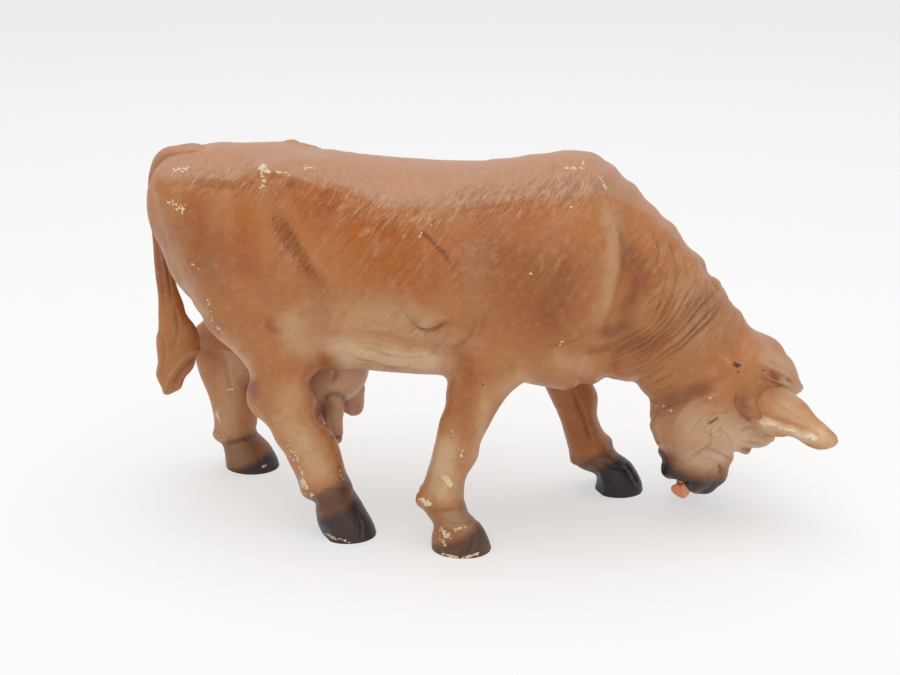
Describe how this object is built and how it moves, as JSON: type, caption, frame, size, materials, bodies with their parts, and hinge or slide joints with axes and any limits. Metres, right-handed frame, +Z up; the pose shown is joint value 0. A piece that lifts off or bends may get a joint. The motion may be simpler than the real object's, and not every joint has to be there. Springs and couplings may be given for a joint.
{
  "type": "toy farm animal figure",
  "caption": "Moulded plastic toy cow, grazing with its head low and turned left, hanging tail, udder and striding legs, standing on flat hooves.",
  "frame": {"origin": "on the ground, under the middle of the figure's bounds", "axes": "+X towards the head, +Y towards the cow's left side, +Z up"},
  "size_m": [0.1288, 0.0514, 0.0714],
  "materials": {
    "brown_paint": "hand-painted tan brown, satin, worn at the edges",
    "pale_paint": "hand-painted pinkish cream, satin",
    "pink_paint": "painted orange pink, satin"
  },
  "bodies": {
    "root": {"trunk": "brown_paint", "head": "brown_paint", "right_ear": "brown_paint", "left_ear": "brown_paint", "tail": "brown_paint", "udder": "pale_paint", "tongue": "pink_paint", "front_right_leg": "brown_paint", "front_left_leg": "brown_paint", "rear_right_leg": "brown_paint", "rear_left_leg": "brown_paint"}
  },
  "joints": []
}
